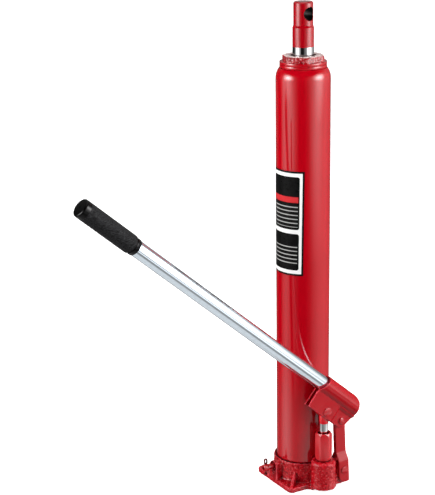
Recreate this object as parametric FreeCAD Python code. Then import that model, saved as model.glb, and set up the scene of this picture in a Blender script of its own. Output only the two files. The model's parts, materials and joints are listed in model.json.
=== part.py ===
import FreeCAD
import Part
import math
import os

# Hand-pumped long-ram hydraulic cylinder, in millimetres.
# The origin is on the cylinder's axis at the underside of the foot plate. +Z is up along the ram,
# the pump stands on the -Y side, and the handle points towards -X.

# Clearances
running = 0.05              # radial, shaft in its hole and ring in its seat
side_gap = 0.3              # between faces that move past each other
end_gap = 0.5               # between stops and the pieces that meet them

# Reservoir tube
tube_d = 68.8
tube_wall = 3.0
tube_length = 521.5
shoulder_curve_r = 22.0     # curve of the swaged shoulder
lip_width = 5.7             # flat lip inside the shoulder
lip_t = 3.5

# Pressure cylinder
cylinder_bore = 32.0
cylinder_wall = 4.0
cylinder_washer_t = 1.5
chamber_step = 2.0          # floor of the oil chamber below the cylinder
bush_length = 18.0

# Ram and piston
ram_d = 26.7
ram_head_d = 24.5           # turned-down top
ram_head_length = 28.8
ram_taper = 2.6             # length of the cone between both diameters
ram_edge = 1.5
ram_stick_out = 65.2        # above the nut, ram down
stop_length = 15.7          # spacer on the ram that ends the stroke
cross_hole_d = 16.6
cross_hole_drop = 14.6      # below the ram's top
cross_hole_edge = 0.7
ram_turn = 14.0             # degrees that the cross hole is turned from -Y towards +X
spigot_d = 16.0             # ram's lower spigot, inside the piston
piston_length = 16.0
piston_nut_height = 7.0
piston_nut_corner_d = 27.0
ring_depth = 2.0            # radial depth of the piston's ring grooves
seal_height = 4.0
backup_height = 1.5
wear_height = 4.0
land = 2.0                  # piston lands between the rings
floor_gap = 2.0             # piston nut above the cylinder's lower end

# Gland nut
top_washer_t = 4.2
top_washer_inset = 0.5      # washer, flange and nut corners inside the shoulder's end
flange_inset = 0.6
flange_t = 3.6
nut_height = 7.5
nut_inset = 2.5
nut_turn = 8.0              # degrees from +X to a corner
nut_chamfer = 1.6
skirt_length = 22.0
skirt_wall = 4.2            # between the pressure cylinder and the tube's lip
nut_floor = 6.0             # solid above the pressure cylinder's end, measured below the flange
rod_seal_depth = 3.6
rod_seal_height = 5.0
rod_seal_lift = 2.0         # above the nut's inner shoulder
wiper_depth = 3.0
wiper_height = 4.0
wiper_slope = 1.0           # fall of the wiper's top, towards its rim

# Base casting
plate_t = 6.5
plate_margin_x = 8.6        # plate beyond the cup
plate_margin_y = 4.0
plate_corner_r = 6.5
plate_edge_r = 1.5
cup_wall = 3.5
cup_draft = 0.8
cup_edge_r = 1.0
seal_width = 2.0            # black ring round the tube, in the cup's mouth
seal_sink = 2.0
seal_stand = 0.6
cup_foot_r = 2.5
cup_height = 32.6
seat_depth = 4.6            # tube below the cup's rim
seat_gap = 0.1
gasket_t = 1.0
socket_depth = 10.0         # pressure cylinder below the tube's gasket
bolt_hole_d = 9.0
bolt_edge_x = 7.6           # hole centre from the plate's edges
bolt_edge_y = 12.0
rib_t = 3.6
rib_toe = 4.0               # bare plate corner beyond a rib
rib_drop = 12.6             # top of a rib below the cup's rim

# Pump
boss_d = 32.4
boss_height = 41.0
boss_foot = 3.5             # underside of the boss above the floor
boss_flare = 0.5
boss_flare_height = 6.0
boss_edge_r = 4.0
boss_fillet_r = 6.0         # in plan, between the boss and the plate's front edge
neck_width = 22.0           # web between the boss and the cup
neck_drop = 2.0
pump_washer_t = 2.0
pump_washer_d = 19.4
pump_length = 37.0
pump_corner_d = 22.2
pump_turn = 5.0             # degrees from the -Y side to a corner
pump_chamfer = 3.0
pump_bevel = 1.6            # radial width of the chamfers
pump_spigot_d = 17.2
pump_spigot_length = 18.0
pump_chamber_d = 13.2
pump_chamber_depth = 7.0
pump_mouth_d = 16.0
pump_mouth_depth = 4.0
pump_wiper_t = 2.4

# Plunger
plunger_d = 11.2
plunger_head_d = 11.8
plunger_bare = 13.0         # plated rod above the pump barrel, at rest
plunger_neck = 17.7         # from the head's lower end to the pin
plunger_down = 12.0         # stroke below rest
plunger_floor_gap = 2.0     # to the pump's floor, plunger down
plunger_cone = 1.3          # length of the cone below the head
plunger_eye_d = 17.0
plunger_eye_t = 12.2
plunger_slack = 1.6         # hole in the eye beyond the pin, for the pin's arc
plunger_ring_depth = 1.3
plunger_ring_height = 1.8
plunger_ring_lift = 3.0

# Handle socket, in its own frame: along the handle, sideways, and up from the upper link pin
handle_angle = 40.67        # degrees above the floor
pin_spacing = 29.6          # plunger pin from the link pin, along the handle
pin_sag = 1.5               # plunger pin below the link pin
handle_lift = 25.1          # handle's axis above the link pin
handle_gap = 0.4
socket_wall = 2.4
socket_clear = 2.7          # between the socket and the reservoir tube
socket_top = 57.8           # length along the top, from the back edge to the mouth
socket_back = 5.0           # back edge at the top, behind the link pin
socket_back_lean = 17.0     # degrees
socket_back_r = 7.0
socket_mouth_lean = 20.0    # degrees
cheek_front_lean = 3.0      # degrees
cheek_drop = 9.3            # lower edge of the cheeks below the link pin
far_cheek_trim = 7.0        # front edge of the far cheek behind the near one's
heel_reach = 12.0           # back edge of the cheeks at the heel, behind the link pin
heel_lift = 9.5
joggle_front = 17.5         # where the cheeks close in on the links, ahead of the link pin
joggle_top = 10.0           # and above it
joggle_run = 4.0            # length of the slope
upper_pin_d = 6.0
upper_head_d = 10.0
upper_head_height = 2.4
upper_head_edge = 0.8
upper_dimple_d = 4.0
plunger_pin_d = 6.0
plunger_pin_head_d = 12.2
plunger_pin_head_t = 0.8
clip_t = 1.0

# Links
link_t = 3.0
link_width = 15.4
link_heel = 17.5            # below the lower pin
link_heel_r = 8.0           # corner beside the pump boss
link_joggle_low = 13.0      # above the lower pin
link_joggle_rise = 10.8
lug_x = 26.6
lug_z = 23.7
lug_t = 12.0
lug_r = 8.6
lug_web_height = 14.0
lower_pin_d = 8.0
lower_head_d = 9.6
lower_head_t = 0.8
notch_gap = 1.5             # room for the back link at the plate's edge

# Handle
handle_d = 20.2
handle_wall = 1.8
handle_length = 487.5
handle_slot_width = 5.0     # slot in the inner end, fits the release pin
handle_slot_depth = 9.0
grip_d = 23.8
grip_length = 89.0
grip_collar_d = 21.8
grip_collar_length = 5.0
grip_end_t = 2.5
grip_end_r = 2.2

# Release valve
release_drop = 3.5          # spindle's axis below the tube's gasket
block_width = 18.0
block_cover = 6.9           # top of the block above the spindle's axis
block_front_r = 2.0
block_rear_r = 8.5
recess_d = 13.0
recess_depth = 3.6
spindle_d = 10.0
spindle_thread_length = 7.0
spindle_neck_d = 7.0
spindle_neck_length = 11.4
spindle_head_d = 10.0
spindle_head_length = 7.0
spindle_head_edge = 0.8
spindle_socket_d = 5.4
spindle_socket_depth = 2.2
spindle_tip_d = 4.6
spindle_tip_length = 2.0
spindle_ring_depth = 1.4
spindle_ring_width = 2.0
release_ball_d = 5.0
split_wire_d = 1.8
split_eye_width = 5.4
split_eye_height = 8.4
split_leg = 4.0
split_spread = 24.0         # degrees

# Valves in the base
pocket_d = 8.4
pocket_depth = 17.0
pocket_x = 14.0             # delivery and relief pockets beside the pump's plane
pocket_y = -24.0
valve_plug_height = 4.0
valve_plug_sink = 0.5
valve_key = 4.0             # corner to corner of the plug's key
valve_ball_d = 6.0
valve_wire_d = 0.8
valve_turns = 3
oil_hole_d = 3.0
strainer_d = 8.0
strainer_height = 4.0
strainer_wall = 0.8

# Filler plug
filler_drop = 59.5          # below the tube's top
filler_stem_d = 10.0
filler_head_d = 15.0
filler_head_t = 3.0

Vec = FreeCAD.Vector
along_x = Vec(1, 0, 0)
along_y = Vec(0, 1, 0)
along_z = Vec(0, 0, 1)

# Radii and heights that follow
tube_r = tube_d / 2
cup_r = tube_r + seat_gap + cup_wall
half_x = cup_r + plate_margin_x
half_y = cup_r + plate_margin_y
tube_low = cup_height - seat_depth
tube_top = tube_low + tube_length
filler_z = tube_top - filler_drop
gasket_low = tube_low - gasket_t
release_z = gasket_low - release_drop
block_height = release_z + block_cover

bore_r = cylinder_bore / 2
cylinder_r = bore_r + cylinder_wall
lip_bore_r = cylinder_r + skirt_wall + 2 * running
lip_r = lip_bore_r + lip_width
cylinder_low = gasket_low - socket_depth + cylinder_washer_t
flange_low = tube_top + top_washer_t
flange_top = flange_low + flange_t
nut_top = flange_top + nut_height
cylinder_top = flange_low - nut_floor
bush_low = cylinder_top - bush_length

ram_r = ram_d / 2
ram_top = nut_top + ram_stick_out
ram_low = cylinder_low + floor_gap
piston_low = ram_low + piston_nut_height
piston_top = piston_low + piston_length
sleeve_top = piston_top + stop_length
stroke = bush_low - end_gap - sleeve_top
piston_r = bore_r - running
groove_r = piston_r - ring_depth

handle_r = handle_d / 2
socket_in_r = handle_r + handle_gap
socket_out_r = socket_in_r + socket_wall
pump_y = -(tube_r + socket_clear + socket_out_r)
pump_low = boss_height + pump_washer_t
pump_top = pump_low + pump_length
spigot_low = boss_height - pump_spigot_length
pump_floor = spigot_low - pump_chamber_depth
plunger_r = plunger_d / 2
plunger_low = pump_floor + plunger_down + plunger_floor_gap
plunger_head_low = pump_top + plunger_bare
plunger_pin_z = plunger_head_low + plunger_neck

cheek_in = plunger_eye_t / 2 + side_gap
cheek_out = cheek_in + socket_wall
link_in = side_gap / 2
joggle_in = link_in + link_t + side_gap
joggle_out = joggle_in + socket_wall
lug_face = lug_t / 2
link_out = lug_face + side_gap + link_t

turn = math.radians(handle_angle)
handle_way = Vec(-math.cos(turn), 0, math.sin(turn))
handle_up = Vec(math.sin(turn), 0, math.cos(turn))
plunger_pin = Vec(0, pump_y, plunger_pin_z)
upper_pin = plunger_pin - handle_way * pin_spacing + handle_up * pin_sag
lower_pin = Vec(lug_x, pump_y, lug_z)
socket_frame = FreeCAD.Placement(upper_pin, FreeCAD.Rotation(handle_way, -along_y, handle_up, "XZY"))
link_length = (upper_pin - lower_pin).Length
link_lean = math.degrees(math.atan2(upper_pin.x - lower_pin.x, upper_pin.z - lower_pin.z))
link_frame = FreeCAD.Placement(lower_pin, FreeCAD.Rotation(along_y, link_lean))


def rod(radius, low, high, x=0.0, y=0.0):
    return Part.makeCylinder(radius, high - low, Vec(x, y, low))


def ring(inner_r, outer_r, low, high, x=0.0, y=0.0):
    return rod(outer_r, low, high, x, y).cut(rod(inner_r, low, high, x, y))


def cross_rod(radius, start, way, length):
    return Part.makeCylinder(radius, length, start, way)


def cross_ring(inner_r, outer_r, start, way, length):
    return cross_rod(outer_r, start, way, length).cut(cross_rod(inner_r, start, way, length))


def turned(profile, x=0.0, y=0.0):
    points = [Vec(x + radius, y, height) for radius, height in profile]
    return Part.Face(Part.makePolygon(points + points[:1])).revolve(Vec(x, y, 0), along_z, 360)


def hexagon(corner_r, low, high, first, x=0.0, y=0.0):
    turns = [math.radians(first + 60 * k) for k in range(6)]
    points = [Vec(x + corner_r * math.cos(a), y + corner_r * math.sin(a), low) for a in turns]
    return Part.Face(Part.makePolygon(points + points[:1])).extrude(along_z * (high - low))


def box(x_span, y_span, z_span):
    corner = Vec(x_span[0], y_span[0], z_span[0])
    return Part.makeBox(x_span[1] - x_span[0], y_span[1] - y_span[0], z_span[1] - z_span[0], corner)


def edges_along(shape, way):
    straight = [e for e in shape.Edges if isinstance(e.Curve, Part.Line)]
    return [e for e in straight if abs(e.tangentAt(e.FirstParameter).dot(way)) > 0.999]


def edges_at(shape, height):
    return [e for e in shape.Edges if abs(e.BoundBox.ZMin - height) + abs(e.BoundBox.ZMax - height) < 1e-4]


def line(start, end):
    return Part.LineSegment(start, end).toShape()


def arc(start, middle, end):
    return Part.Arc(start, middle, end).toShape()


def reservoir_tube():
    # Swaged shoulder: a curve tangent to the side, up to the lip
    centre_r = tube_r - shoulder_curve_r
    rise = math.acos((lip_r - centre_r) / shoulder_curve_r)
    curve_low = tube_top - shoulder_curve_r * math.sin(rise)

    def curve_point(share, inset):
        radius = shoulder_curve_r - inset
        return Vec(centre_r + radius * math.cos(rise * share), 0, curve_low + radius * math.sin(rise * share))

    lip_low = tube_top - lip_t
    inner_rise = math.asin((lip_low - curve_low) / (shoulder_curve_r - tube_wall)) / rise
    out_low, out_mid, out_top = (curve_point(s, 0) for s in (0, 0.5, 1))
    in_low, in_mid, in_top = (curve_point(s * inner_rise, tube_wall) for s in (0, 0.5, 1))
    foot_out = Vec(tube_r, 0, tube_low)
    foot_in = Vec(tube_r - tube_wall, 0, tube_low)
    lip_out = Vec(lip_bore_r, 0, tube_top)
    lip_in = Vec(lip_bore_r, 0, lip_low)
    outline = [line(foot_in, foot_out), line(foot_out, out_low), arc(out_low, out_mid, out_top),
               line(out_top, lip_out), line(lip_out, lip_in), line(lip_in, in_top),
               arc(in_top, in_mid, in_low), line(in_low, foot_in)]
    shell = Part.Face(Part.Wire(outline)).revolve(Vec(0, 0, 0), along_z, 360)
    return shell.cut(cross_rod(filler_stem_d / 2, Vec(0, 0, filler_z), along_y, tube_d))


def filler_plug():
    # Rubber plug in the rear side, its head shaped to the tube
    start = Vec(0, tube_r - 2 * tube_wall, filler_z)
    stem = cross_rod(filler_stem_d / 2 - running, start, along_y, 2 * tube_wall)
    head = cross_rod(filler_head_d / 2, start, along_y, 2 * tube_wall + filler_head_t)
    head = head.cut(rod(tube_r, filler_z - filler_head_d, filler_z + filler_head_d))
    rim = [e for e in head.Edges if e.BoundBox.YMin > tube_r + filler_head_t - 1e-4]
    return stem.fuse(head.makeFillet(filler_head_t / 2, rim)).removeSplitter()


def inner_cylinder():
    return ring(bore_r, cylinder_r, cylinder_low, cylinder_top)


def gland_nut():
    corner_r = lip_r - nut_inset
    hexagon_part = hexagon(corner_r, flange_top, nut_top, nut_turn)
    bevel_r = corner_r * math.cos(math.pi / 6)
    crown = turned([(0, flange_top), (corner_r, flange_top), (corner_r, nut_top - nut_chamfer),
                    (bevel_r, nut_top), (0, nut_top)])
    nut = hexagon_part.common(crown).fuse(rod(lip_r - flange_inset, flange_low, flange_top))
    nut = nut.fuse(rod(lip_bore_r - running, flange_low - skirt_length, flange_low)).removeSplitter()
    nut = nut.cut(rod(cylinder_r + running, flange_low - skirt_length, cylinder_top))
    nut = nut.cut(rod(ram_r + side_gap, cylinder_top, nut_top))
    seal_low = cylinder_top + rod_seal_lift
    nut = nut.cut(rod(ram_r + rod_seal_depth, seal_low, seal_low + rod_seal_height))
    return nut.cut(rod(ram_r + wiper_depth, nut_top - wiper_height, nut_top))


def rod_seal():
    low = cylinder_top + rod_seal_lift
    return ring(ram_r + running, ram_r + rod_seal_depth - running, low, low + rod_seal_height)


def wiper():
    low = nut_top - wiper_height
    rim = nut_top - wiper_slope
    inner = ram_r + running
    outer = ram_r + wiper_depth - running
    return turned([(inner, low), (outer, low), (outer, rim), (inner, nut_top)])


def ram():
    head_r = ram_head_d / 2
    step_top = ram_top - ram_head_length
    profile = [(0, ram_low), (spigot_d / 2, ram_low), (spigot_d / 2, piston_top), (ram_r, piston_top),
               (ram_r, step_top - ram_taper), (head_r, step_top), (head_r, ram_top - ram_edge),
               (head_r - ram_edge, ram_top), (0, ram_top)]
    bearing = math.radians(ram_turn - 90)
    way = Vec(math.cos(bearing), math.sin(bearing), 0)
    middle = Vec(0, 0, ram_top - cross_hole_drop)
    hole = cross_rod(cross_hole_d / 2, middle - way * ram_r, way, 2 * ram_r)
    drilled = turned(profile).cut(hole)
    rims = [e for e in drilled.Edges if isinstance(e.Curve, Part.BSplineCurve)]
    return drilled.makeChamfer(cross_hole_edge, rims) if rims else drilled


def piston_ring_low():
    # Lower edges of the seal and of the wear ring
    seal = piston_low + land
    return seal, piston_top - land - wear_height


def piston():
    seal_low, wear_low = piston_ring_low()
    body = ring(spigot_d / 2 + running, piston_r, piston_low, piston_top)
    body = body.cut(ring(groove_r, bore_r, seal_low, seal_low + seal_height + backup_height))
    return body.cut(ring(groove_r, bore_r, wear_low, wear_low + wear_height))


def piston_seal():
    low = piston_ring_low()[0]
    inner = groove_r + running
    lip = ring_depth / 3
    return turned([(inner, low + lip), (inner + lip, low), (piston_r - lip, low), (piston_r, low + lip),
                   (piston_r, low + seal_height), (inner, low + seal_height)])


def piston_backup_ring():
    low = piston_ring_low()[0] + seal_height
    return ring(groove_r + running, piston_r, low, low + backup_height)


def wear_ring():
    low = piston_ring_low()[1]
    return ring(groove_r + running, piston_r, low, low + wear_height)


def piston_nut():
    corner_r = piston_nut_corner_d / 2
    nut = hexagon(corner_r, ram_low, piston_low, 0)
    bevel = corner_r * (1 - math.cos(math.pi / 6))
    crown = turned([(0, ram_low), (corner_r - bevel, ram_low), (corner_r, ram_low + bevel / 2),
                    (corner_r, piston_low), (0, piston_low)])
    return nut.common(crown).cut(rod(spigot_d / 2 + running, ram_low, piston_low))


def stop_sleeve():
    return ring(ram_r + running, bore_r - side_gap, piston_top, sleeve_top)


def foot_plate():
    plate = box((-half_x, half_x), (-half_y, half_y), (0, plate_t))
    plate = plate.makeFillet(plate_corner_r, edges_along(plate, along_z))
    return plate.makeFillet(plate_edge_r, edges_at(plate, plate_t))


def boss_fillet():
    # Concave corner from the plate's front edge to the boss, on the handle's side
    boss_r = boss_d / 2 + boss_flare
    centre_y = -half_y - boss_fillet_r
    reach = boss_r + boss_fillet_r
    centre_x = -math.sqrt(reach ** 2 - (centre_y - pump_y) ** 2)
    touch_y = pump_y + (centre_y - pump_y) * boss_r / reach
    top = plate_t - plate_edge_r
    corner = box((centre_x, 0), (touch_y, 0), (0, top))
    return corner.cut(rod(boss_fillet_r, 0, top, centre_x, centre_y))


def cup():
    foot_r = cup_r + cup_draft
    wall = turned([(0, 0), (foot_r, 0), (foot_r, plate_t), (cup_r, cup_height), (0, cup_height)])
    return wall.makeFillet(cup_edge_r, edges_at(wall, cup_height))


def pump_boss():
    radius = boss_d / 2
    flare_top = boss_foot + boss_flare_height
    boss = turned([(0, boss_foot), (radius + boss_flare, boss_foot), (radius + boss_flare, flare_top),
                   (radius, flare_top + boss_flare_height / 2), (radius, boss_height), (0, boss_height)],
                  0, pump_y)
    boss = boss.makeFillet(boss_edge_r, edges_at(boss, boss_height))
    neck = box((-neck_width / 2, neck_width / 2), (pump_y, 0), (boss_foot, cup_height - neck_drop))
    return boss.fuse(neck)


def link_lug():
    # Upright lug between the links, on a web from the pump boss
    front = pump_y - lug_face
    right = lug_x + lug_r
    left = lug_x - lug_r
    web_top = boss_foot + lug_web_height
    spots = [(0, boss_foot), (right, boss_foot), (right, lug_z), (left, lug_z), (left, web_top), (0, web_top)]
    foot, toe, shoulder, back, inner, root = (Vec(x, front, z) for x, z in spots)
    crown = Vec(lug_x, front, lug_z + lug_r)
    outline = [line(foot, toe), line(toe, shoulder), arc(shoulder, crown, back), line(back, inner),
               line(inner, root), line(root, foot)]
    return Part.Face(Part.Wire(outline)).extrude(along_y * lug_t)


def release_block():
    # Valve block on the -X side: square towards the pump, round towards the rear
    start = -half_x
    half = block_width / 2

    def at(y, z):
        return Vec(start, y, z)

    bow = 1 - math.sqrt(0.5)
    front_low = at(-half, block_height - block_front_r)
    front_mid = at(-half + block_front_r * bow, block_height - block_front_r * bow)
    front_top = at(-half + block_front_r, block_height)
    rear_top = at(half - block_rear_r, block_height)
    rear_mid = at(half - block_rear_r * bow, block_height - block_rear_r * bow)
    rear_low = at(half, block_height - block_rear_r)
    outline = [line(at(-half, 0), front_low), arc(front_low, front_mid, front_top),
               line(front_top, rear_top), arc(rear_top, rear_mid, rear_low),
               line(rear_low, at(half, 0)), line(at(half, 0), at(-half, 0))]
    return Part.Face(Part.Wire(outline)).extrude(along_x * -start)


def corner_rib(side):
    # Sloping rib from the cup to a front corner of the plate
    reach = math.hypot(half_x, half_y) - rib_toe
    spots = [(0, 0), (reach, 0), (reach, plate_t), (cup_r, cup_height - rib_drop), (0, cup_height - rib_drop)]
    points = [Vec(radius, -rib_t / 2, height) for radius, height in spots]
    rib = Part.Face(Part.makePolygon(points + points[:1])).extrude(along_y * rib_t)
    rib.rotate(Vec(0, 0, 0), along_z, math.degrees(math.atan2(-half_y, side * half_x)))
    return rib


def valve_places():
    # Delivery, relief and suction pockets: plan place, open end and blind end
    return [(-pocket_x, pocket_y, 0, pocket_depth), (pocket_x, pocket_y, 0, pocket_depth),
            (0, pump_y, boss_foot, pump_floor - end_gap)]


def base():
    casting = foot_plate().fuse(cup()).removeSplitter()
    rounds = [e for e in edges_at(casting, plate_t) if isinstance(e.Curve, Part.Circle)]
    casting = casting.makeFillet(cup_foot_r, [e for e in rounds if e.Curve.Radius > cup_r])
    for piece in [pump_boss(), boss_fillet(), link_lug(), release_block(), corner_rib(-1), corner_rib(1)]:
        casting = casting.fuse(piece)
    casting = casting.removeSplitter()
    seats = [rod(tube_r + seat_gap, gasket_low, boss_height),
             rod(tube_r + seal_width, cup_height - seal_sink, boss_height),
             rod(cylinder_r + running, cylinder_low - cylinder_washer_t, gasket_low),
             rod(bore_r, cylinder_low - cylinder_washer_t - chamber_step, cylinder_low),
             rod(pump_spigot_d / 2 + running, spigot_low, boss_height, 0, pump_y),
             rod(pump_chamber_d / 2, pump_floor, spigot_low, 0, pump_y),
             rod(oil_hole_d / 2, boss_foot, pump_floor, 0, pump_y),
             rod(strainer_d / 2 + running, gasket_low - strainer_height, gasket_low, 0, strainer_y())]
    seats += [rod(pocket_d / 2, low, high, x, y) for x, y, low, high in valve_places()]
    bolt_x = half_x - bolt_edge_x
    bolt_y = half_y - bolt_edge_y
    seats += [rod(bolt_hole_d / 2, 0, plate_t, side * bolt_x, bolt_y) for side in (-1, 1)]
    seats.append(cross_rod(lower_pin_d / 2 + running, lower_pin - along_y * lug_t, along_y, 2 * lug_t))
    seats += release_seats()
    # Room for the back link's heel at the plate's edge
    notch = pump_y + link_out + notch_gap
    seats.append(box((lug_x - link_width / 2 - 2 * notch_gap, lug_x + link_width / 2 + 2 * notch_gap),
                     (pump_y + lug_face, notch), (0, cup_height)))
    for seat in seats:
        casting = casting.cut(seat)
    return casting


def strainer_y():
    return -(cylinder_r + tube_r - tube_wall) / 2


def suction_strainer():
    radius = strainer_d / 2
    low = gasket_low - strainer_height
    return rod(radius, low, gasket_low, 0, strainer_y()).cut(
        rod(radius - strainer_wall, low + strainer_wall, gasket_low, 0, strainer_y()))


def tube_seal():
    # Rubber ring with a rounded top, pressed in round the tube
    inner = tube_r + running
    outer = tube_r + seal_width - running
    top = cup_height + seal_stand
    seal = ring(inner, outer, cup_height - seal_sink, top)
    return seal.makeFillet(seal_width / 3, edges_at(seal, top))


def base_gasket():
    return ring(tube_r - tube_wall, tube_r, gasket_low, tube_low)


def cylinder_washer():
    return ring(bore_r, cylinder_r, cylinder_low - cylinder_washer_t, cylinder_low)


def top_washer():
    return ring(lip_bore_r, lip_r - top_washer_inset, tube_top, flange_low)


def guide_bush():
    return ring(ram_r + running, bore_r - running, bush_low, cylinder_top)


def valve_plugs():
    plugs = []
    for x, y, low, high in valve_places():
        bottom = low + valve_plug_sink
        plug = rod(pocket_d / 2 - running, bottom, bottom + valve_plug_height, x, y)
        plugs.append(plug.cut(hexagon(valve_key / 2, bottom, bottom + valve_plug_height / 2, 0, x, y)))
    return Part.makeCompound(plugs)


def valve_balls():
    # The sprung balls close upwards, the suction ball lies on its plug
    balls = []
    radius = valve_ball_d / 2
    for x, y, low, high in valve_places():
        sprung = low == 0
        centre = high - radius if sprung else low + valve_plug_sink + valve_plug_height + radius
        balls.append(Part.makeSphere(radius, Vec(x, y, centre)))
    return Part.makeCompound(balls)


def valve_springs():
    springs = []
    wire_r = valve_wire_d / 2
    coil_r = valve_ball_d / 2 - valve_wire_d
    for x, y, low, high in valve_places()[:2]:
        bottom = low + valve_plug_sink + valve_plug_height + wire_r
        # The top coil bears on the ball a little above its lowest point
        rise = valve_ball_d / 2 - math.sqrt((valve_ball_d / 2 + wire_r) ** 2 - coil_r ** 2)
        top = high - valve_ball_d + rise
        height = top - bottom
        helix = Part.makeHelix(height / valve_turns, height, coil_r)
        section = Part.Wire(Part.makeCircle(wire_r, Vec(coil_r, 0, 0), along_y))
        spring = Part.Wire(helix.Edges).makePipeShell([section], True, True)
        spring.translate(Vec(x, y, bottom))
        springs.append(spring)
    return Part.makeCompound(springs)


def pump_cylinder():
    corner_r = pump_corner_d / 2
    barrel = hexagon(corner_r, pump_low, pump_top, pump_turn - 90, 0, pump_y)
    bevel_r = corner_r - pump_bevel
    crown = turned([(0, pump_low), (bevel_r, pump_low), (corner_r, pump_low + pump_chamfer),
                    (corner_r, pump_top - pump_chamfer), (bevel_r, pump_top), (0, pump_top)], 0, pump_y)
    barrel = barrel.common(crown).fuse(rod(pump_spigot_d / 2, spigot_low, pump_low, 0, pump_y))
    bore = rod(plunger_r + running, spigot_low, pump_top, 0, pump_y)
    mouth = rod(pump_mouth_d / 2, pump_top - pump_mouth_depth, pump_top, 0, pump_y)
    return barrel.removeSplitter().cut(bore).cut(mouth)


def pump_washer():
    return ring(pump_spigot_d / 2 + running, pump_washer_d / 2, boss_height, pump_low, 0, pump_y)


def pump_wiper():
    low = pump_top - pump_mouth_depth
    return ring(plunger_r + running, pump_mouth_d / 2 - running, low, low + pump_wiper_t, 0, pump_y)


def plunger_groove():
    low = plunger_low + plunger_ring_lift
    return low, low + plunger_ring_height, low + 2 * plunger_ring_height


def plunger():
    low, middle, high = plunger_groove()
    head_r = plunger_head_d / 2
    body = rod(plunger_r, plunger_low, plunger_head_low + plunger_cone, 0, pump_y)
    body = body.cut(ring(plunger_r - plunger_ring_depth, plunger_r, low, high, 0, pump_y))
    cone_top = plunger_head_low + plunger_cone
    head = turned([(0, plunger_head_low), (plunger_r, plunger_head_low), (head_r, cone_top),
                   (head_r, plunger_pin_z), (0, plunger_pin_z)], 0, pump_y)
    start = plunger_pin - along_y * (plunger_eye_t / 2)
    eye = cross_rod(plunger_eye_d / 2, start, along_y, plunger_eye_t)
    hole = cross_rod(plunger_pin_d / 2 + plunger_slack, start, along_y, plunger_eye_t)
    return body.fuse(head).fuse(eye).removeSplitter().cut(hole)


def plunger_oring():
    low, middle = plunger_groove()[:2]
    return ring(plunger_r - plunger_ring_depth + running, plunger_r, low, middle, 0, pump_y)


def plunger_backup_ring():
    middle, high = plunger_groove()[1:]
    return ring(plunger_r - plunger_ring_depth + running, plunger_r, middle, high, 0, pump_y)


def socket_outline(half):
    # Side view of the socket, extruded to both sides
    top = handle_lift + socket_out_r
    back_slope = math.tan(math.radians(socket_back_lean))
    mouth_slope = math.tan(math.radians(socket_mouth_lean))
    mouth_top = socket_top - socket_back
    cheek_top = handle_lift - socket_out_r
    front = mouth_top + (top - cheek_top) * mouth_slope
    front_low = front - (cheek_top + cheek_drop) * math.tan(math.radians(cheek_front_lean))
    back_low = -socket_back - (top - cheek_top) * back_slope
    rear_lean = math.atan2(heel_reach - cheek_drop, heel_lift)
    reach = socket_back_r

    def at(along, up):
        return Vec(along, -half, up)

    back_high = at(-socket_back - reach * back_slope, top - reach)
    back_top = at(-socket_back + reach, top)
    corner = at(-socket_back, top)
    chord = (back_high + back_top) / 2
    back_bow = corner + (chord - corner) * (2 - math.sqrt(2))
    bow = cheek_drop * math.sqrt(0.5)
    corners = [at(mouth_top, top), at(front, cheek_top), at(front_low, -cheek_drop), at(0, -cheek_drop)]
    lobe_mid = at(-bow, -bow)
    lobe_end = at(-cheek_drop * math.cos(rear_lean), -cheek_drop * math.sin(rear_lean))
    heel_low = at(-heel_reach, heel_lift)
    heel_back = at(back_low, cheek_top)
    outline = [arc(back_high, back_bow, back_top), line(back_top, corners[0])]
    outline += [line(a, b) for a, b in zip(corners, corners[1:])]
    outline += [arc(corners[-1], lobe_mid, lobe_end), line(lobe_end, heel_low), line(heel_low, heel_back),
                line(heel_back, back_high)]
    return Part.Face(Part.Wire(outline)).extrude(along_y * 2 * half), front


def joggle_pad(side, face, depth, back):
    # Block with sloping front and top edges where a cheek steps in by depth
    low = -2 * cheek_drop
    pad = Part.makeWedge(back, face - depth, low, low, back,
                         joggle_front - joggle_run, face, joggle_top, joggle_top + joggle_run, joggle_front)
    return pad if side > 0 else pad.mirror(Vec(0, 0, 0), along_y)


def handle_socket():
    # Tube for the handle over two cheeks, as one keyhole section
    outline, front = socket_outline(2 * socket_out_r)
    back = -4 * cheek_drop
    length = front - 2 * back
    spine = Vec(back, 0, handle_lift)
    outer = cross_rod(socket_out_r, spine, along_x, length)
    outer = outer.fuse(box((back, back + length), (-cheek_out, cheek_out), (2 * -cheek_drop, handle_lift)))
    body = outer.common(outline).removeSplitter()
    bore = cross_rod(socket_in_r, Vec(handle_low() - side_gap, 0, handle_lift), along_x, length)
    fork = box((back, back + length), (-cheek_in, cheek_in), (2 * -cheek_drop, handle_lift - socket_in_r / 2))
    step = cheek_out - joggle_out
    for side in (1, -1):
        body = body.cut(joggle_pad(side, cheek_out, step, back))
        fork = fork.cut(joggle_pad(side, cheek_in, step, back))
    body = body.cut(fork).cut(bore)
    cheek_top = handle_lift - math.sqrt(socket_out_r ** 2 - cheek_out ** 2)
    trim = box((front - far_cheek_trim, front), (2 * -cheek_out, 0), (2 * -cheek_drop, cheek_top))
    body = body.cut(trim)
    pin_place = Vec(pin_spacing, -socket_out_r, -pin_sag)
    width = 2 * socket_out_r
    body = body.cut(cross_rod(upper_pin_d / 2 + running, Vec(0, -socket_out_r, 0), along_y, width))
    body = body.cut(cross_rod(plunger_pin_d / 2 + running, pin_place, along_y, width))
    body.Placement = socket_frame
    return body


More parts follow.
